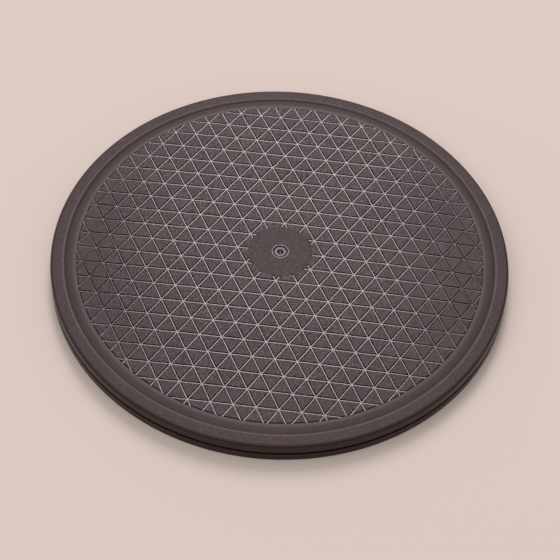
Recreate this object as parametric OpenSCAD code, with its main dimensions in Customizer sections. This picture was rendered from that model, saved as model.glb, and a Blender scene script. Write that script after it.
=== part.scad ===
// Pivot disc: a crowned deck that turns on a base, on a ring of balls, about one central rivet.
// Millimetres, +Z up. The origin is on the turning axis at the level of the foot pads' lower faces.

/* [Discs] */
// Diameter of the deck and of the base
disc_d = 380; // [360:1:400]
// Height of the base's side wall
base_h = 6.9; // [5.6:0.1:8]
// Running gap between the two side walls
rim_gap = 2.7; // [1.6:0.1:2.8]
// Height of the deck's side wall
deck_h = 8.8; // [8.2:0.1:11]
// Rise of the deck's middle above its rim
crown = 3.4; // [2:0.1:5]
// Thickness of the deck's skin
deck_t = 2.6; // [2.2:0.1:3]
// Thickness of the base's floor
base_t = 3.5; // [3.2:0.1:4]
// Thickness of both side walls
wall_t = 3; // [2.4:0.1:4]
// Rounding of the edges that face the gap and the floor
edge_r = 0.4; // [0.3:0.1:1]

/* [Rim of the deck] */
// Width of the rim's level top, with its outer rounding
rim_w = 11.4; // [8:0.1:13]
// Rounding of the rim's outer edge
rim_outer_r = 2.6; // [1:0.1:3]
// Width of the rim's sloping inner side
lip_w = 1.6; // [1:0.1:5]
// Width of the channel inside the rim
channel_w = 5.6; // [4:0.1:9]
// Depth of the channel's foot below the smooth ring
channel_depth = 0.5; // [0.2:0.05:0.8]
// Width of the smooth ring between the channel and the lands
ring_w = 2.9; // [2:0.1:6]

/* [Grip pattern] */
// Side of one triangle of the groove lattice
triangle_side = 17.9; // [14:0.1:26]
// Width of a groove
groove_w = 2; // [1.4:0.1:3]
// Height of the lands above the grooves
land_h = 0.5; // [0.3:0.05:1]
// Diameter of the plain middle
plain_d = 53.2; // [40:0.2:64]

/* [Stiffening] */
// Number of radial ribs in each disc
rib_count = 18; // [12:1:24]
// Thickness of a rib
rib_t = 1.8; // [1.2:0.1:2.5]
// Radius of the innermost ring rib
ring_rib_r = 40; // [34:1:44]
// Distance from one ring rib to the next inside the race
ring_rib_pitch = 26; // [22:1:28]
// Distance of the outermost ring rib from the side wall
ring_rib_edge = 32; // [26:1:36]
// Room between the ribs and the level of the gap's faces
rib_room = 1.4; // [1:0.1:2]

/* [Pivot] */
// Diameter of the two hubs
hub_d = 32; // [28:0.5:40]
// Diameter of the rivet's shank
rivet_d = 8; // [6:0.1:9]
// Diameter of the rivet's lower head
rivet_head_d = 15; // [13:0.5:17]
// Thickness of the rivet's lower head
rivet_head_t = 2; // [1.5:0.1:2.2]
// Height of the rivet's head above the base's underside
rivet_head_room = 0.5; // [0.3:0.1:0.8]
// Diameter of the rivet's rolled collar
collar_d = 10.8; // [9.8:0.1:11]
// Height of the rivet's rolled collar
collar_t = 1.2; // [1:0.1:1.6]
// Depth of the collar below the plain middle
collar_sink = 0.3; // [0.1:0.1:1.4]
// Diameter of the hole in the collar
eyelet_d = 4; // [2:0.1:4.4]
// Depth of the hole in the collar
eyelet_depth = 3; // [2:0.5:10]
// Diameter of the recess round the collar
recess_d = 12.4; // [12:0.1:16]
// Wall of the pivot bush
bush_wall = 1.3; // [1.1:0.1:2]
// Thickness of the bush's flange
bush_flange_t = 1; // [0.8:0.1:1.4]
// Diameter of the thrust washer
thrust_d = 28; // [24:0.5:31]
// Thickness of the thrust washer
thrust_t = 2.2; // [1.6:0.1:2.6]
// Diameter of the backing washer
backing_d = 19; // [17:0.5:20]
// Thickness of the backing washer
backing_t = 1; // [0.8:0.1:1.3]
// Diameter of the recess under the base
head_recess_d = 21; // [20.5:0.5:24]

/* [Ball race] */
// Diameter of a ball
ball_d = 8; // [7:0.1:8.4]
// Number of balls
ball_count = 24; // [12:1:24]
// Diameter of the circle through the balls' centres
race_d = 240; // [232:1:250]
// Width of each race's boss and of the cage
race_w = 13; // [12:0.5:16]
// Thickness of the cage
cage_t = 2; // [1.6:0.1:2.4]
// Room between the cage and each race
cage_room = 0.5; // [0.4:0.1:0.7]

/* [Foot pads] */
// Diameter of a foot pad
pad_d = 44; // [36:0.5:48]
// Thickness of a foot pad
pad_t = 2.5; // [2:0.1:2.8]
// How far the pads stand out below the base
pad_out = 0.2; // [0.2:0.1:1.2]
// Number of foot pads
pad_count = 8; // [6:1:10]
// Distance from the base's edge in to the pads' centres
pad_inset = 40; // [36:1:46]

/* [Clearances] */
// Gap between a ball and what it rolls in
ball_clear = 0.3; // [0.2:0.05:0.4]
// Running gap between the rivet and the bush
pivot_clear = 0.05; // [0.02:0.01:0.1]
// Gap under the rivet's collar
collar_clear = 0.1; // [0.05:0.05:0.3]
// Gap between the thrust washer and the deck's hub
thrust_clear = 0.3; // [0.2:0.05:0.4]
// Gap round a piece that drops into a recess or over the rivet
seat_clear = 0.3; // [0.1:0.05:0.4]
// Gap round the bush in the deck's hub
bush_clear = 0.03; // [0.02:0.01:0.1]

/* [Hidden] */
$fn = 96;

plastic_colour = "#5b4f51";
inner_colour = "#2b2728";
steel_colour = "#8c8886";
rubber_colour = "#1f1d1d";
cage_colour = "#cfc9bd";

// Levels, from the floor up
base_z = pad_out;
base_top_z = base_z + base_h;
deck_z = base_top_z + rim_gap;
rim_z = deck_z + deck_h;
crown_z = rim_z + crown;
ball_z = (base_top_z + deck_z) / 2;
ring_z = rim_z - land_h;
channel_z = ring_z - channel_depth;
base_race_z = ball_z - cage_t / 2 - cage_room;
deck_race_z = ball_z + cage_t / 2 + cage_room;

// Radii of the deck's top, from the edge in
disc_r = disc_d / 2;
rim_r = disc_r - rim_w;
lip_r = rim_r - lip_w;
channel_r = lip_r - channel_w;
land_r = channel_r - ring_w;
plain_r = plain_d / 2;
wall_in_r = disc_r - wall_t;
pad_circle_r = disc_r - pad_inset;

// Radii and levels of the pivot
hub_r = hub_d / 2;
rivet_r = rivet_d / 2;
bush_bore_r = rivet_r + pivot_clear;
bush_r = bush_bore_r + bush_wall;
hub_bore_r = bush_r + bush_clear;
recess_r = recess_d / 2;
washer_bore_r = rivet_r + seat_clear;
head_z = base_z + rivet_head_room;
backing_z = head_z + rivet_head_t;
head_recess_top_z = backing_z + backing_t;
collar_top_z = crown_z - collar_sink;
collar_z = collar_top_z - collar_t;
bush_top_z = collar_z - collar_clear;
recess_z = bush_top_z - bush_flange_t;
deck_hub_z = base_top_z + thrust_t + thrust_clear;

race_r = race_d / 2;
ball_r = ball_d / 2;
groove_r = ball_r + ball_clear;

// Radii of the ring ribs: those inside the race, then one near the side wall
ring_ribs = concat(
  [for (r = [ring_rib_r:ring_rib_pitch:race_r - race_w]) r],
  [wall_in_r - ring_rib_edge]
);

crown_steps = 6;
arc_steps = 5;

function numbered(name, i) = str(name, "_", i < 10 ? "0" : "", i);

// Height of the land tops at a distance from the axis
function land_z(r) = rim_z + crown * (1 - pow(r / land_r, 2));

function arc(x, y, r, from, to) =
  [for (i = [0:arc_steps]) let (a = from + (to - from) * i / arc_steps) [x + r * cos(a), y + r * sin(a)]];

// Points on an arc that starts level at (r, z) and falls by drop over a run
function shoulder(r, z, run, drop) =
  let (radius = (run * run + drop * drop) / (2 * drop), end = asin(run / radius))
  [for (i = [0:arc_steps]) let (a = end * i / arc_steps) [r + radius * sin(a), z - radius * (1 - cos(a))]];

function reversed(list) = [for (i = [len(list) - 1:-1:0]) list[i]];

// Points along the crown, at a depth below the land tops
function crown_line(depth) =
  [for (i = [0:crown_steps]) let (r = land_r * i / crown_steps) [r, land_z(r) - depth]];

// Points along the inside of the deck's skin, at a depth below its top faces, out to the radius end_r
function skin_line(depth, end_r) = concat(
  crown_line(land_h + depth),
  [[lip_r, channel_z - depth], [end_r, channel_z - depth]]
);

// Section of the deck without its lands, hub and ribs
function deck_section() = concat(
  crown_line(land_h),
  shoulder(channel_r, ring_z, channel_w, channel_depth),
  [[rim_r, rim_z]],
  arc(disc_r - rim_outer_r, rim_z - rim_outer_r, rim_outer_r, 90, 0),
  arc(disc_r - edge_r, deck_z + edge_r, edge_r, 0, -90),
  [[wall_in_r, deck_z]],
  reversed(skin_line(deck_t, wall_in_r))
);

// Section that the lands fill, sunk half the skin's depth into the deck
function land_section() = concat(
  crown_line(0),
  reversed(crown_line(land_h + deck_t / 2))
);

// Section that the deck's ribs fill, up to the middle of the skin
function deck_rib_section() = concat(
  skin_line(deck_t / 2, disc_r - wall_t / 2),
  [[disc_r - wall_t / 2, deck_z + rib_room], [0, deck_z + rib_room]]
);

// Section of the base without its hub and ribs
function base_section() = concat(
  [[0, base_z]],
  arc(disc_r - edge_r, base_z + edge_r, edge_r, -90, 0),
  arc(disc_r - edge_r, base_top_z - edge_r, edge_r, 0, 90),
  [
    [wall_in_r, base_top_z],
    [wall_in_r, base_z + base_t],
    [0, base_z + base_t]
  ]
);

module spun(section) {
  rotate_extrude() polygon(section);
}

module tube(outer_r, inner_r, z, h) {
  translate([0, 0, z]) linear_extrude(h) difference() {
    circle(outer_r);
    circle(inner_r);
  }
}

module disc(r, z, h) {
  translate([0, 0, z]) cylinder(r = r, h = h);
}

// Copies the children round the axis, at a distance from it
module round_axis(count, r) {
  for (i = [0:count - 1]) rotate(i * 360 / count) translate([r, 0]) children();
}

// Straight grooves in three directions, whose crossings are the corners of the triangles
module groove_lines() {
  spacing = triangle_side * sqrt(3) / 2;
  lines = floor(land_r / spacing);
  for (turn = [0, 60, 120], i = [-lines:lines])
    rotate(turn) translate([0, i * spacing]) square([2 * disc_r, groove_w], center = true);
}

// Plan of the lands and the plain middle, round the pivot's recess
module land_plan() {
  difference() {
    circle(land_r);
    circle(recess_r);
    difference() {
      groove_lines();
      circle(plain_r);
    }
  }
}

module lands() {
  intersection() {
    linear_extrude(crown_z + land_h) land_plan();
    spun(land_section());
  }
}

// Plan of the ribs, from the hub to the side wall
module rib_plan() {
  length = disc_r - wall_t / 2 - hub_r / 2;
  for (i = [0:rib_count - 1])
    rotate(i * 360 / rib_count) translate([hub_r / 2, -rib_t / 2]) square([length, rib_t]);
  for (r = ring_ribs) difference() {
    circle(r + rib_t / 2);
    circle(r - rib_t / 2);
  }
}

// Ring of round section that the balls run in
module race_groove() {
  rotate_extrude() translate([race_r, ball_z]) circle(groove_r);
}

// The deck before its lands are added: skin, rim, side wall, ribs, upper race and hub
module deck_shell() {
  rib_height = crown_z - deck_z;
  race_top_z = land_z(race_r) - land_h - deck_t / 2;
  hub_top_z = crown_z - land_h - deck_t / 2;
  difference() {
    union() {
      spun(deck_section());
      intersection() {
        translate([0, 0, deck_z]) linear_extrude(rib_height) rib_plan();
        spun(deck_rib_section());
      }
      tube(race_r + race_w / 2, race_r - race_w / 2, deck_race_z, race_top_z - deck_race_z);
      disc(hub_r, deck_hub_z, hub_top_z - deck_hub_z);
    }
    race_groove();
    disc(hub_bore_r, 0, crown_z);
    disc(recess_r, recess_z, crown_z);
  }
}

module deck() {
  color(plastic_colour) union() {
    deck_shell();
    lands();
  }
}

module base() {
  floor_z = base_z + base_t;
  sunk = base_t / 2;
  color(plastic_colour) difference() {
    union() {
      spun(base_section());
      translate([0, 0, floor_z - sunk]) linear_extrude(base_top_z - rib_room - floor_z + sunk) rib_plan();
      tube(race_r + race_w / 2, race_r - race_w / 2, floor_z - sunk, base_race_z - floor_z + sunk);
      disc(hub_r, floor_z - sunk, base_top_z - floor_z + sunk);
    }
    race_groove();
    disc(washer_bore_r, 0, crown_z);
    disc(head_recess_d / 2, 0, head_recess_top_z);
    round_axis(pad_count, pad_circle_r) disc(pad_d / 2 + seat_clear, 0, pad_t);
  }
}

// The collar's top is rolled over: its section is a strip with a half-round upper edge
module pivot_rivet() {
  roll_r = collar_t / 2;
  eyelet_r = eyelet_d / 2;
  color(steel_colour) difference() {
    union() {
      disc(rivet_head_d / 2, head_z, rivet_head_t);
      disc(rivet_r, head_z, collar_top_z - roll_r - head_z);
      spun(concat(
        [[0, collar_z], [collar_d / 2 - roll_r, collar_z]],
        arc(collar_d / 2 - roll_r, collar_z + roll_r, roll_r, -90, 90),
        [[0, collar_top_z]]
      ));
    }
    disc(eyelet_r, collar_top_z - eyelet_depth, crown_z);
    translate([0, 0, collar_top_z - roll_r]) cylinder(r1 = eyelet_r, r2 = eyelet_r + 2 * roll_r, h = 2 * roll_r);
  }
}

module pivot_bush() {
  color(inner_colour) difference() {
    union() {
      disc(bush_r, deck_hub_z, recess_z - deck_hub_z);
      disc(recess_r - seat_clear, recess_z, bush_flange_t);
    }
    disc(bush_bore_r, 0, crown_z);
  }
}

module thrust_washer() {
  color(cage_colour) tube(thrust_d / 2, washer_bore_r, base_top_z, thrust_t);
}

module backing_washer() {
  color(steel_colour) tube(backing_d / 2, washer_bore_r, backing_z, backing_t);
}

module ball_cage() {
  color(cage_colour) difference() {
    tube(race_r + race_w / 2, race_r - race_w / 2, ball_z - cage_t / 2, cage_t);
    round_axis(ball_count, race_r) disc(groove_r, 0, crown_z);
  }
}

module ball(i) {
  color(steel_colour) rotate((i - 1) * 360 / ball_count) translate([race_r, 0, ball_z]) sphere(ball_r);
}

module foot_pad(i) {
  color(rubber_colour) rotate((i - 1) * 360 / pad_count) translate([pad_circle_r, 0]) spun(concat(
    [[0, 0]],
    arc(pad_d / 2 - edge_r, edge_r, edge_r, -90, 0),
    [[pad_d / 2, pad_t], [0, pad_t]]
  ));
}

deck();
base();
pivot_rivet();
pivot_bush();
thrust_washer();
backing_washer();
ball_cage();
for (i = [1:ball_count]) ball(i);
for (i = [1:pad_count]) foot_pad(i);
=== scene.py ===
import math

import bmesh
import bpy
from mathutils import Matrix, Vector


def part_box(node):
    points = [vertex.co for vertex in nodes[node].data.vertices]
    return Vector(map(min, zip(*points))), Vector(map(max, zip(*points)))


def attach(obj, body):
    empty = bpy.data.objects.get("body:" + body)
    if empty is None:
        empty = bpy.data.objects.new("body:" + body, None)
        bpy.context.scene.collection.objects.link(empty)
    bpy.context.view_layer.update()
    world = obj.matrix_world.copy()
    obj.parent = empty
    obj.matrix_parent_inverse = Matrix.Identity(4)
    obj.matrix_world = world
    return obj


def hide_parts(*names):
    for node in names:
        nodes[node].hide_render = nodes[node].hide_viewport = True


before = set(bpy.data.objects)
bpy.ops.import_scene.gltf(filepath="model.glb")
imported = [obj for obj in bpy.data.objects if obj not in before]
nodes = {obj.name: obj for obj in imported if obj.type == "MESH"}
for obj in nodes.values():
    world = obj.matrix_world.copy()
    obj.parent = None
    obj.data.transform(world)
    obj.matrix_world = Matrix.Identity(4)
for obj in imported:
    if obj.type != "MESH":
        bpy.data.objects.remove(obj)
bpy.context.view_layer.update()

# Base disc
# The lower half of the turntable: a flat tray moulded in dark warm-grey polypropylene. It has a side wall,
# ribs and the lower ball race on its inner side, and shallow seats for the rubber pads underneath.
MM = 0.001


def linear(hex_colour):
    """An sRGB hex colour as the linear values that a shader takes."""
    parts = [int(hex_colour[i:i + 2], 16) / 255 for i in (1, 3, 5)]
    return [p / 12.92 if p <= 0.04045 else ((p + 0.055) / 1.055) ** 2.4 for p in parts] + [1.0]


def add_node(tree, kind, settings, links=()):
    """Adds a node. A setting is an input, or an option in lower case. A link is an input and its source."""
    made = tree.nodes.new(kind)
    for name, value in settings.items():
        if str(name).islower():
            setattr(made, name, value)
        else:
            made.inputs[name].default_value = value
    for name, source in links:
        tree.links.new(source, made.inputs[name])
    return made


def new_material(name):
    """A node material with nothing in it yet, and its node tree."""
    material = bpy.data.materials.new(name)
    material.use_nodes = True
    material.node_tree.nodes.clear()
    return material, material.node_tree


def moulded_plastic(name, dark, light, roughness, grain, relief, specular=0.5):
    """Moulded polypropylene: a dense dark pigment with faint flow clouds, and a grain taken from the mould.
    The grain breaks the gloss up, so the skin looks dull from above and shines softly along the light."""
    material, tree = new_material(name)
    flow_cloud = 45 * MM
    cloud_weight = 0.45
    place = add_node(tree, "ShaderNodeTexCoord", {})
    clouds = add_node(tree, "ShaderNodeTexNoise", {"Scale": 1 / flow_cloud, "Detail": 4.0, "Roughness": 0.6},
                      [("Vector", place.outputs["Object"])])
    specks = add_node(tree, "ShaderNodeTexNoise", {"Scale": 1 / grain, "Detail": 1.0, "Roughness": 0.5},
                      [("Vector", place.outputs["Object"])])
    tone = add_node(tree, "ShaderNodeMath", {"operation": "MULTIPLY_ADD", 1: cloud_weight},
                    [(0, clouds.outputs["Fac"]), (2, specks.outputs["Fac"])])
    colour = add_node(tree, "ShaderNodeValToRGB", {}, [("Fac", tone.outputs[0])])
    for stop, position, shade in zip(colour.color_ramp.elements, (0.60, 0.85), (dark, light)):
        stop.position = position
        stop.color = linear(shade)
    gloss = add_node(tree, "ShaderNodeMapRange",
                     {"From Min": 0.37, "From Max": 0.63, "To Min": roughness[0], "To Max": roughness[1]},
                     [("Value", specks.outputs["Fac"])])
    bump = add_node(tree, "ShaderNodeBump", {"Strength": 1.0, "Distance": relief},
                    [("Height", specks.outputs["Fac"])])
    shader = add_node(tree, "ShaderNodeBsdfPrincipled", {"IOR": 1.49, "Specular IOR Level": specular},
                      [("Base Color", colour.outputs["Color"]), ("Roughness", gloss.outputs["Result"]),
                       ("Normal", bump.outputs["Normal"])])
    add_node(tree, "ShaderNodeOutputMaterial", {}, [("Surface", shader.outputs["BSDF"])])
    return material


def dress(node, material):
    """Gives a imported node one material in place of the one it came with."""
    nodes[node].data.materials.clear()
    nodes[node].data.materials.append(material)


# The side wall comes from a smooth part of the mould. Its fine dull skin gives back little of the floor.
wall_plastic = moulded_plastic("polypropylene_moulded_wall", dark="#1f1214", light="#291719",
                               roughness=(0.28, 0.36), grain=1.3 * MM, relief=0.02 * MM, specular=0.28)
dress("base", wall_plastic)

# Foot pads
# Eight round pads of black rubber, moulded with a rounded lower edge and bonded into the base's seats.
# They stand out a little below the base and hold it still on the floor.


def matte_rubber():
    """Black moulded rubber: dull, with a fine bloom and shallow pits that soften every reflection."""
    material, tree = new_material("rubber_moulded_matte")
    pit_w = 0.8 * MM
    pit_depth = 0.04 * MM
    place = add_node(tree, "ShaderNodeTexCoord", {})
    pits = add_node(tree, "ShaderNodeTexNoise", {"Scale": 1 / pit_w, "Detail": 3.0},
                    [("Vector", place.outputs["Object"])])
    colour = add_node(tree, "ShaderNodeValToRGB", {}, [("Fac", pits.outputs["Fac"])])
    for stop, position, shade in zip(colour.color_ramp.elements, (0.3, 0.75), ("#161414", "#2a2726")):
        stop.position = position
        stop.color = linear(shade)
    bump = add_node(tree, "ShaderNodeBump", {"Strength": 1.0, "Distance": pit_depth},
                    [("Height", pits.outputs["Fac"])])
    shader = add_node(tree, "ShaderNodeBsdfPrincipled", {"Roughness": 0.8, "IOR": 1.52},
                      [("Base Color", colour.outputs["Color"]), ("Normal", bump.outputs["Normal"])])
    add_node(tree, "ShaderNodeOutputMaterial", {}, [("Surface", shader.outputs["BSDF"])])
    return material


pad_rubber = matte_rubber()
for name in nodes:
    if name.startswith("foot_pad"):
        dress(name, pad_rubber)

# Backing washer
# A flat washer, stamped from steel and zinc plated. It lies under the base, against the rivet's lower head,
# and spreads the rivet's pull over the plastic.


def plated_steel(name, dark, light, roughness, streak):
    """Steel with a thin plated or ground finish: metallic, with fine marks that spread its reflections."""
    material, tree = new_material(name)
    place = add_node(tree, "ShaderNodeTexCoord", {})
    marks = add_node(tree, "ShaderNodeTexNoise", {"Scale": 1 / streak, "Detail": 4.0},
                     [("Vector", place.outputs["Object"])])
    colour = add_node(tree, "ShaderNodeValToRGB", {}, [("Fac", marks.outputs["Fac"])])
    for stop, position, shade in zip(colour.color_ramp.elements, (0.35, 0.7), (dark, light)):
        stop.position = position
        stop.color = linear(shade)
    gloss = add_node(tree, "ShaderNodeMapRange",
                     {"From Min": 0.3, "From Max": 0.7, "To Min": roughness[0], "To Max": roughness[1]},
                     [("Value", marks.outputs["Fac"])])
    shader = add_node(tree, "ShaderNodeBsdfPrincipled", {"Metallic": 1.0},
                      [("Base Color", colour.outputs["Color"]), ("Roughness", gloss.outputs["Result"])])
    add_node(tree, "ShaderNodeOutputMaterial", {}, [("Surface", shader.outputs["BSDF"])])
    return material


# Zinc plate is pale and slightly milky, so it shines without mirroring.
bright_zinc = plated_steel("steel_zinc_plated", dark="#a8a7a2", light="#c9c8c4",
                           roughness=(0.28, 0.42), streak=1.5 * MM)
dress("backing_washer", bright_zinc)

# Thrust washer, ball cage and balls
# The washer and the cage are injection-moulded natural nylon, cream and faintly waxy.
# The balls are hardened steel, ground and polished, and roll in the races between the two discs.


def natural_nylon():
    """Undyed moulded nylon: cream, slightly translucent, with a soft waxy gloss and faint cloudy patches."""
    material, tree = new_material("nylon_moulded_natural")
    patch_w = 9 * MM
    place = add_node(tree, "ShaderNodeTexCoord", {})
    clouds = add_node(tree, "ShaderNodeTexNoise", {"Scale": 1 / patch_w, "Detail": 3.0},
                      [("Vector", place.outputs["Object"])])
    colour = add_node(tree, "ShaderNodeValToRGB", {}, [("Fac", clouds.outputs["Fac"])])
    for stop, position, shade in zip(colour.color_ramp.elements, (0.35, 0.7), ("#cdc5b4", "#dfd9cb")):
        stop.position = position
        stop.color = linear(shade)
    shader = add_node(tree, "ShaderNodeBsdfPrincipled",
                      {"Roughness": 0.42, "IOR": 1.53, "Subsurface Weight": 0.1},
                      [("Base Color", colour.outputs["Color"])])
    add_node(tree, "ShaderNodeOutputMaterial", {}, [("Surface", shader.outputs["BSDF"])])
    return material


nylon = natural_nylon()
dress("thrust_washer", nylon)
dress("ball_cage", nylon)

# Ground and polished balls mirror what is round them, a little blurred.
ball_steel = plated_steel("steel_ground_polished", dark="#b9b9ba", light="#d2d2d2",
                          roughness=(0.08, 0.16), streak=3 * MM)
for name in nodes:
    if name.startswith("ball_") and name != "ball_cage":
        dress(name, ball_steel)

# Pivot bush
# A flanged bush turned from black acetal, pressed into the deck's hub. Its flange shows as the dark floor of
# the recess round the rivet.


def black_acetal():
    """Turned black acetal: smooth and slightly waxy, with fine turning marks that dull the gloss."""
    material, tree = new_material("acetal_turned_black")
    # The turning marks are taken as 0.2 mm apart, and are drawn coarser so that they show.
    mark_pitch = 3.14 * MM
    waves_per_unit = 20 / (2 * math.pi)
    place = add_node(tree, "ShaderNodeTexCoord", {})
    turning = add_node(tree, "ShaderNodeTexWave",
                       {"wave_type": "RINGS", "rings_direction": "Z",
                        "Scale": 1 / mark_pitch / waves_per_unit, "Distortion": 0.4},
                       [("Vector", place.outputs["Object"])])
    gloss = add_node(tree, "ShaderNodeMapRange", {"To Min": 0.38, "To Max": 0.5},
                     [("Value", turning.outputs["Fac"])])
    shader = add_node(tree, "ShaderNodeBsdfPrincipled", {"Base Color": linear("#1c1a1a"), "IOR": 1.48},
                      [("Roughness", gloss.outputs["Result"])])
    add_node(tree, "ShaderNodeOutputMaterial", {}, [("Surface", shader.outputs["BSDF"])])
    return material


dress("pivot_bush", black_acetal())

# Deck
# The upper half that is stood on: one moulding of dark warm-grey polypropylene, slightly crowned. Its raised
# triangular lands run into a plain round middle, and a ring, a channel and a plain rim go round them.
# It runs on the balls, and the bush in its hub turns on the rivet.

# Sizes of the rim and the side wall
deck_low, deck_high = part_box("deck")
disc_r = (deck_high.y - deck_low.y) / 2
deck_z = deck_low.z
crown = 3.4 * MM
rim_z = deck_high.z - crown
rim_w = 11.4 * MM
rim_outer_r = 2.6 * MM
rim_band_w = 1.6 * MM
lip_w = 1.6 * MM
channel_w = 5.6 * MM
channel_depth = 0.5 * MM
ring_w = 2.9 * MM
edge_r = 0.4 * MM
wall_t = 3.0 * MM
skin_t = 2.6 * MM

# Sizes of the lands and grooves. A land rises in steps of an inset and a rise: its side, round edge and top.
triangle_side = 17.9 * MM
groove_floor_w = 0.8 * MM
land_steps = ((0.60 * MM, 0.42 * MM), (0.07 * MM, 0.05 * MM), (0.06 * MM, 0.03 * MM), (0.03 * MM, 0))
land_h = sum(rise for inset, rise in land_steps)
narrowest_cut_land = 1.1 * MM

# Sizes of the plain middle, the recess and the hub
plain_r = 26.6 * MM
witness_r = 25.4 * MM
witness_w = 0.3 * MM
witness_depth = 0.05 * MM
middle_rings = (20 * MM, 14 * MM)
bead_r = 7.0 * MM
recess_r = 6.2 * MM
recess_edge_r = 0.4 * MM
bush_low, bush_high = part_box("pivot_bush")
bush_flange_t = 1.0 * MM
recess_z = bush_high.z - bush_flange_t
hub_z = bush_low.z
hub_r = 16 * MM
hub_bore_r = 5.38 * MM

# Sizes of the ball race and the ribs underneath
ball_low, ball_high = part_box("ball_01")
ball_z = (ball_low.z + ball_high.z) / 2
race_r = 120 * MM
race_w = 13 * MM
race_groove_r = 4.3 * MM
race_lift = 1.5 * MM
race_face_z = ball_z + race_lift
race_out_r = race_r + race_w / 2
race_in_r = race_r - race_w / 2
rib_t = 1.8 * MM
rib_lift = 1.4 * MM
rib_z = deck_z + rib_lift
rib_count = 18
ring_ribs = (40 * MM, 66 * MM, 92 * MM)
outer_ring_rib = 155 * MM

# Radii and heights that follow
rim_r = disc_r - rim_w
lip_r = rim_r - lip_w
channel_r = lip_r - channel_w
land_r = channel_r - ring_w
ring_z = rim_z - land_h
channel_z = ring_z - channel_depth
arc_count = 360


def land_top(r):
    """Height of the land tops at a distance from the axis."""
    return rim_z + crown * (1 - (r / land_r) ** 2)


def under(r):
    """Height of the skin's underside at a distance from the axis."""
    return land_top(r) - land_h - skin_t


def arc(x, z, radius, start, end, steps=6):
    """Points on an arc of the section, by its centre and its start and end angles in degrees."""
    angles = [math.radians(start + (end - start) * i / steps) for i in range(steps + 1)]
    return [(x + radius * math.cos(a), z + radius * math.sin(a)) for a in angles]


def shoulder(r, z, run, drop):
    """Points on an arc that starts level at a radius and a height, and falls by drop over a run outwards."""
    radius = (run ** 2 + drop ** 2) / (2 * drop)
    return arc(r, z - radius, radius, 90, 90 - math.degrees(math.asin(run / radius)), 10)


def ring_rib(r):
    """Points of a rib that runs round the underside, from its outer foot to its inner foot."""
    half = rib_t / 2
    return [(r + half, under(r + half)), (r + half, rib_z), (r - half, rib_z), (r - half, under(r - half))]


def sweep(mesh, edges, section, finish):
    """Carries a closed loop of edges along a section, point by point, and returns the last loop's edges."""
    for radius, height in section:
        made = bmesh.ops.extrude_edge_only(mesh, edges=edges)["geom"]
        verts = [g for g in made if isinstance(g, bmesh.types.BMVert)]
        edges = [g for g in made if isinstance(g, bmesh.types.BMEdge)]
        for face in [g for g in made if isinstance(g, bmesh.types.BMFace)]:
            face.material_index = finish
        ratio = radius / max(vert.co.xy.length for vert in verts)
        rise = height - verts[0].co.z
        bmesh.ops.scale(mesh, vec=(ratio, ratio, 1), verts=verts)
        bmesh.ops.translate(mesh, vec=(0, 0, rise), verts=verts)
    return edges


# Places of the finishes in the deck's list of materials
GRAINED, FINE, SATIN, POLISHED_HIGHLIGHT, DRAFTED_SHADE, WALL = range(6)

# The lattice: three sets of straight grooves, 60 degrees apart, with one of each set through the axis
spacing = triangle_side * math.sqrt(3) / 2
line_count = int(land_r // spacing)
groove_normals = [Vector((-math.sin(t), math.cos(t), 0)) for t in (0, math.pi / 3, 2 * math.pi / 3)]


def leaves_groove(spoke):
    """Whether a spoke of the plan runs across the lands and not along the middle of a groove."""
    foot = spoke.verts[0].co
    return abs(math.sin(3 * math.atan2(foot.y, foot.x))) > 0.01


def in_groove(face):
    """Whether a face of the plan lies in a groove, judged just inside its longest side."""
    step_in = 0.01 * MM
    side = max(face.loops, key=lambda loop: loop.edge.calc_length())
    along = side.link_loop_next.vert.co - side.vert.co
    just_inside = side.vert.co + along / 2 + face.normal.cross(along).normalized() * step_in
    offsets = [just_inside.dot(normal) for normal in groove_normals]
    return any(abs(o - round(o / spacing) * spacing) < groove_floor_w / 2 for o in offsets)


def at_field_edge(face):
    """Whether a face of the plan is cut off by the field's round outer edge."""
    margin = 0.05 * MM
    return any(vert.co.xy.length > land_r - margin for vert in face.verts)


def wide_enough(face):
    """Whether a face of the plan is wide enough to be raised with drafted sides."""
    return 2 * face.calc_area() / face.calc_perimeter() > narrowest_cut_land


# The plan starts as a flat ring in six sectors, with spokes along grooves. Every groove edge then cuts it.
deck_mesh = bmesh.new()
bmesh.ops.create_circle(deck_mesh, segments=arc_count, radius=land_r)
bmesh.ops.create_circle(deck_mesh, segments=arc_count, radius=plain_r)
spokes = bmesh.ops.bridge_loops(deck_mesh, edges=deck_mesh.edges[:])["edges"]
bmesh.ops.dissolve_edges(deck_mesh, edges=[e for e in spokes if leaves_groove(e)])
for normal in groove_normals:
    for line in range(-line_count, line_count + 1):
        for side in (-0.5, 0.5):
            bmesh.ops.bisect_plane(
                deck_mesh, geom=deck_mesh.verts[:] + deck_mesh.edges[:] + deck_mesh.faces[:], dist=1e-7,
                plane_co=normal * (line * spacing + side * groove_floor_w), plane_no=normal)
bmesh.ops.recalc_face_normals(deck_mesh, faces=deck_mesh.faces[:])
deck_mesh.normal_update()
if deck_mesh.faces[:][0].normal.z < 0:
    bmesh.ops.reverse_faces(deck_mesh, faces=deck_mesh.faces[:])
# Groove floors take the polished finish, whose lighter colour is a painted highlight; the rest starts satin.
for face in deck_mesh.faces:
    face.material_index = POLISHED_HIGHLIGHT if in_groove(face) else SATIN
between_grooves = [face for face in deck_mesh.faces if not in_groove(face)]
lands = [face for face in between_grooves if wide_enough(face) or not at_field_edge(face)]

# The plain middle fills the ring, with a thin witness line round it. A cap over the pivot comes out later.
middle_edge = [e for e in deck_mesh.edges if e.is_boundary and e.verts[0].co.xy.length < land_r / 2]
field_face_count = len(deck_mesh.faces)
witness_rings = [witness_r + witness_w * i / 2 for i in (2, 1, 0, -1, -2)]
middle_section = [(r, 0) for r in (*witness_rings, *middle_rings, bead_r)]
pivot_edge = sweep(deck_mesh, middle_edge, middle_section, FINE)
cap = bmesh.ops.edgeloop_fill(deck_mesh, edges=pivot_edge)["faces"]
plain_middle = deck_mesh.faces[:][field_face_count:]

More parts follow.
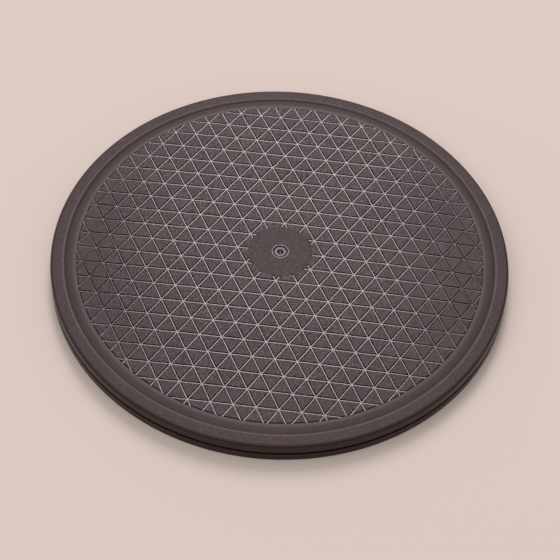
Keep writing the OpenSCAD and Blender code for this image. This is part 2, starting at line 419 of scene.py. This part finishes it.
# The lands and the middle rise together, with drafted sides and a small round along their top edges.
cut_lands = [face for face in lands if at_field_edge(face)]
joined_lands = [face for face in lands if not at_field_edge(face)] + plain_middle
# The rising steps take the drafted finish, whose near-black colour is painted shade; the flat steps take the
# grain.
for faces, keep_even in ((joined_lands, True), (cut_lands, False)):
    for inset, rise in land_steps:
        sides = bmesh.ops.inset_region(deck_mesh, faces=faces, use_boundary=True, use_even_offset=keep_even,
                                       thickness=inset, depth=rise)["faces"]
        for face in sides:
            face.material_index = DRAFTED_SHADE if rise else GRAINED
for face in lands:
    face.material_index = GRAINED
bmesh.ops.delete(deck_mesh, geom=cap, context="FACES")
for vert in deck_mesh.verts:
    r = vert.co.xy.length
    vert.co.z += land_top(r) - land_h
    if abs(r - witness_r) < witness_w / 4:
        vert.co.z -= witness_depth

# From the field's outer edge the section runs over ring, channel, rim and side wall, then back underneath.
open_edges = [e for e in deck_mesh.edges if e.is_boundary]
field_edge = [e for e in open_edges if e.verts[0].co.xy.length > land_r / 2]
pivot_edge = [e for e in open_edges if e.verts[0].co.xy.length < land_r / 2]
channel = shoulder(channel_r, ring_z, channel_w, channel_depth)
rim_round = (disc_r - rim_outer_r, rim_z - rim_outer_r, rim_outer_r)
lower_edge = (disc_r - edge_r, deck_z + edge_r, edge_r)
loop = sweep(deck_mesh, field_edge, channel[:1], SATIN)
loop = sweep(deck_mesh, loop, channel[1:] + [(rim_r, rim_z)], FINE)
loop = sweep(deck_mesh, loop, [(rim_r + rim_band_w, rim_z)], SATIN)
loop = sweep(deck_mesh, loop, arc(*rim_round, 90, 45), FINE)
loop = sweep(deck_mesh, loop, arc(*rim_round, 45, 0)[1:] + arc(*lower_edge, 0, -90), WALL)
race_half = math.degrees(math.asin(race_lift / race_groove_r))
outer_under = [
    (disc_r - wall_t, deck_z),
    (disc_r - wall_t, channel_z - skin_t),
    (lip_r, channel_z - skin_t),
    (land_r, under(land_r)),
    *ring_rib(outer_ring_rib),
    (race_out_r, under(race_out_r)),
    (race_out_r, race_face_z),
    *arc(race_r, ball_z, race_groove_r, race_half, 180 - race_half, 12),
    (race_in_r, race_face_z),
    (race_in_r, under(race_in_r)),
]
outer_loop = sweep(deck_mesh, loop, outer_under, WALL)

# From the middle it runs over a polished bead with a painted highlight, down the pivot's recess and bore, and
# out again underneath.
recess_round = (recess_r + recess_edge_r, land_top(recess_r) - recess_edge_r, recess_edge_r)
loop = sweep(deck_mesh, pivot_edge, arc(*recess_round, 90, 180), POLISHED_HIGHLIGHT)
inner_under = [
    (recess_r, recess_z),
    (hub_bore_r, recess_z),
    (hub_bore_r, hub_z),
    (hub_r, hub_z),
    (hub_r, under(hub_r)),
]
for r in ring_ribs:
    inner_under += ring_rib(r)[::-1]
inner_loop = sweep(deck_mesh, loop, inner_under, WALL)
bmesh.ops.bridge_loops(deck_mesh, edges=outer_loop + inner_loop)

# Radial ribs stiffen the underside. They run from the hub to the race and from the race to the side wall.
hub_bite = 3.2 * MM
race_bite = 1.0 * MM
rib_top = under(land_r) + skin_t / 2
inner_span = (hub_r - hub_bite, race_in_r + race_bite)
outer_span = (race_out_r - race_bite, disc_r - wall_t / 2)
for i in range(rib_count):
    turn = Matrix.Rotation(2 * math.pi * i / rib_count, 4, "Z")
    for start, end in (inner_span, outer_span):
        middle = Matrix.Translation(((start + end) / 2, 0, (rib_z + rib_top) / 2))
        size = Matrix.Diagonal((end - start, rib_t, rib_top - rib_z, 1))
        bmesh.ops.create_cube(deck_mesh, size=1, matrix=turn @ middle @ size)
bmesh.ops.recalc_face_normals(deck_mesh, faces=deck_mesh.faces[:])


def finished_piece(name, mesh, materials, flat_above):
    """Makes an object of a bmesh, smooth except along edges sharper than flat_above, in degrees."""
    data = bpy.data.meshes.new(name)
    for face in mesh.faces:
        face.smooth = True
    for edge in mesh.edges:
        edge.smooth = edge.calc_face_angle(math.pi) < math.radians(flat_above)
    mesh.to_mesh(data)
    mesh.free()
    piece = bpy.data.objects.new(name, data)
    bpy.context.scene.collection.objects.link(piece)
    for material in materials:
        data.materials.append(material)
    return piece


# The lands carry the mould's spark-eroded grain, which breaks the light into dull specks. It is taken as a
# third of a millimetre across, and is drawn coarser so that it shows.
grained = moulded_plastic("polypropylene_moulded_grain", dark="#1d1113", light="#352124",
                          roughness=(0.40, 0.69), grain=1.2 * MM, relief=0.18 * MM)

# The middle, the channel and the rim have a slightly shallower grain and a more even, soft sheen.
fine = moulded_plastic("polypropylene_moulded_fine_grain", dark="#201214", light="#342023",
                       roughness=(0.49, 0.66), grain=1.2 * MM, relief=0.17 * MM)

# The ring and the band inside the rim are almost smooth, and brighten evenly towards the light.
satin = moulded_plastic("polypropylene_moulded_satin", dark="#231416", light="#311e21",
                        roughness=(0.45, 0.51), grain=1.2 * MM, relief=0.02 * MM)

# The grooves' floors and the bead round the pivot show as thin pale lines. Their colour is matched to that,
# lighter than the bare plastic. They are polished smooth, and their colour is a painted highlight, lighter
# than the bare plastic.
polished_highlight = moulded_plastic("polypropylene_polished_painted_highlight", dark="#4b4243", light="#574d4f",
                           roughness=(0.16, 0.20), grain=1.4 * MM, relief=0.004 * MM)

# The grooves' drafted sides show as dark lines. Their colour is painted shade, darker than the bare plastic.
drafted = moulded_plastic("polypropylene_drafted_painted_shade", dark="#090506", light="#0e0809",
                          roughness=(0.52, 0.62), grain=1.3 * MM, relief=0.02 * MM, specular=0.12)

# The grooves' feet turn by 35 degrees and stay sharp. The top of the lip turns by 32 degrees and is smooth.
finishes = [grained, fine, satin, polished_highlight, drafted, wall_plastic]
deck = finished_piece("deck_moulding", deck_mesh, finishes, flat_above=33)
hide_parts("deck")
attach(deck, "deck")

# Pivot rivet
# A semi-tubular steel rivet with a dark finish. Its lower head sits under the base, and its upper end is
# rolled over into a collar, which leaves a small round hole in the middle.
rivet_low, rivet_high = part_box("pivot_rivet")
shank_r = 4 * MM
head_r = 7.5 * MM
head_t = 2 * MM
head_low_edge_r = 0.4 * MM
head_top_edge_r = 0.3 * MM
collar_r = 5.4 * MM
collar_t = 1.2 * MM
collar_edge_r = 0.35 * MM
crest_r = 3.2 * MM
crest_drop = 0.25 * MM
eyelet_r = 2.0 * MM
eyelet_depth = 1.8 * MM
cup_r = 2.1 * MM
cup_start = -25
rivet_sides = 96

# Half of its section, from the axis at the lower head, up the outside and back to the axis in the eyelet
head_top = rivet_low.z + head_t
collar_top = rivet_high.z
collar_low = collar_top - collar_t
eyelet_roll_r = crest_r - eyelet_r
slope = shoulder(crest_r, collar_top, collar_r - crest_r - collar_edge_r / 2, crest_drop)
lean = 90 - 2 * math.degrees(math.atan2(crest_drop, slope[-1][0] - crest_r))
edge_x = slope[-1][0] - collar_edge_r * math.cos(math.radians(lean))
edge_z = slope[-1][1] - collar_edge_r * math.sin(math.radians(lean))
rivet_section = [(0, rivet_low.z)]
rivet_section += arc(head_r - head_low_edge_r, rivet_low.z + head_low_edge_r, head_low_edge_r, -90, 0)
rivet_section += arc(head_r - head_top_edge_r, head_top - head_top_edge_r, head_top_edge_r, 0, 90)
rivet_section += [(shank_r, head_top), (shank_r, collar_low)]
rivet_section += arc(edge_x, edge_z, collar_edge_r, -90, lean, 8)
rivet_section += slope[-2::-1]
rivet_section += arc(crest_r, collar_top - eyelet_roll_r, eyelet_roll_r, 90, 180, 8)[1:]
rivet_section += arc(0, collar_top - eyelet_depth + cup_r, cup_r, cup_start, -90, 8)

rivet_mesh = bmesh.new()
outline = [rivet_mesh.verts.new((x, 0, z)) for x, z in rivet_section]
edges = [rivet_mesh.edges.new(pair) for pair in zip(outline, outline[1:])]
bmesh.ops.spin(rivet_mesh, geom=outline + edges, axis=(0, 0, 1), cent=(0, 0, 0), angle=2 * math.pi,
               steps=rivet_sides, use_merge=True)
bmesh.ops.remove_doubles(rivet_mesh, verts=rivet_mesh.verts[:], dist=1e-6)
bmesh.ops.recalc_face_normals(rivet_mesh, faces=rivet_mesh.faces[:])

# The dark oxide takes most of the steel's shine and leaves a broad grey glow on the collar.
dark_steel = plated_steel("steel_dark_oxide", dark="#575254", light="#676264",
                          roughness=(0.40, 0.52), streak=0.9 * MM)
rivet = finished_piece("rivet_rolled", rivet_mesh, [dark_steel], flat_above=40)
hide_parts("pivot_rivet")
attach(rivet, "base")

# Floor
# A plain pale floor in a warm off-white, wide enough to fill the view. It is fully matt, so it shows only the
# disc's soft shadow.
floor_half = 6.0
floor_mesh = bmesh.new()
bmesh.ops.create_grid(floor_mesh, x_segments=1, y_segments=1, size=floor_half)
floor, floor_tree = new_material("floor_plain")
floor_shader = add_node(floor_tree, "ShaderNodeBsdfDiffuse", {"Color": linear("#d7d0ca")})
add_node(floor_tree, "ShaderNodeOutputMaterial", {}, [("Surface", floor_shader.outputs["BSDF"])])
ground = finished_piece("floor", floor_mesh, [floor], flat_above=40)

# Light
# A tall soft box behind the disc, a large one above it to the front left, and an even fill from all round.
# They stand far off, so that the floor is lit evenly, and together they show a colour about as it is written.
lamp_distance = 6.0
fill_strength = 0.43


def soft_box(name, azimuth, elevation, half_wide, half_high, colour, power):
    """A rectangular lamp aimed at the disc, by its direction and half angles in degrees, seen from there."""
    turn, rise = math.radians(azimuth), math.radians(elevation)
    towards = Vector((math.cos(turn) * math.cos(rise), math.sin(turn) * math.cos(rise), math.sin(rise)))
    lamp = bpy.data.lights.new(name, "AREA")
    lamp.shape = "RECTANGLE"
    lamp.size = 2 * lamp_distance * math.tan(math.radians(half_wide))
    lamp.size_y = 2 * lamp_distance * math.tan(math.radians(half_high))
    lamp.color = linear(colour)[:3]
    lamp.energy = power
    box = bpy.data.objects.new(name, lamp)
    aim = towards.to_track_quat("Z", "Y").to_matrix().to_4x4()
    box.matrix_world = Matrix.Translation(towards * lamp_distance) @ aim
    bpy.context.scene.collection.objects.link(box)


soft_box("back_soft_box", azimuth=95, elevation=50, half_wide=8.5, half_high=14, colour="#ffeff4", power=164)
soft_box("front_soft_box", azimuth=235, elevation=68, half_wide=35, half_high=35, colour="#fff4ee", power=190)
world = bpy.data.worlds.new("studio_fill")
world.use_nodes = True
fill = world.node_tree.nodes["Background"]
fill.inputs["Color"].default_value = linear("#fff4ee")
fill.inputs["Strength"].default_value = fill_strength
bpy.context.scene.world = world

# Camera
# It looks down at the disc from the front, a little to the right of the grooves' direction, with a long lens.
# Its place and small turns were fitted to the disc's outline and to the groove lattice.
azimuth = math.radians(4.95)
elevation = math.radians(50.71)
distance = 1427.907 * MM
aim_z = rim_z - 1.7 * MM
pan = math.radians(-0.033)
tilt = math.radians(-0.827)
roll = math.radians(-2.58)
sensor_mm = 36
focal_mm = 110.436

right = Vector((math.cos(azimuth), math.sin(azimuth), 0))
level_back = Vector((math.sin(azimuth), -math.cos(azimuth), 0))
back = level_back * math.cos(elevation) + Vector((0, 0, math.sin(elevation)))
forward = -back
up = right.cross(forward)
turn = Matrix.Rotation(pan, 3, up)
forward, right = turn @ forward, turn @ right
turn = Matrix.Rotation(tilt, 3, right)
forward, up = turn @ forward, turn @ up
turn = Matrix.Rotation(roll, 3, forward)
right, up = turn @ right, turn @ up
camera_place = Matrix.Translation(back * distance + Vector((0, 0, aim_z)))
camera_axes = Matrix((right, up, -forward)).transposed().to_4x4()

lens = bpy.data.cameras.new("camera")
lens.sensor_width = sensor_mm
lens.lens = focal_mm
camera = bpy.data.objects.new("camera", lens)
camera.matrix_world = camera_place @ camera_axes
bpy.context.scene.collection.objects.link(camera)
bpy.context.scene.camera = camera
bpy.context.scene.view_settings.view_transform = "Standard"
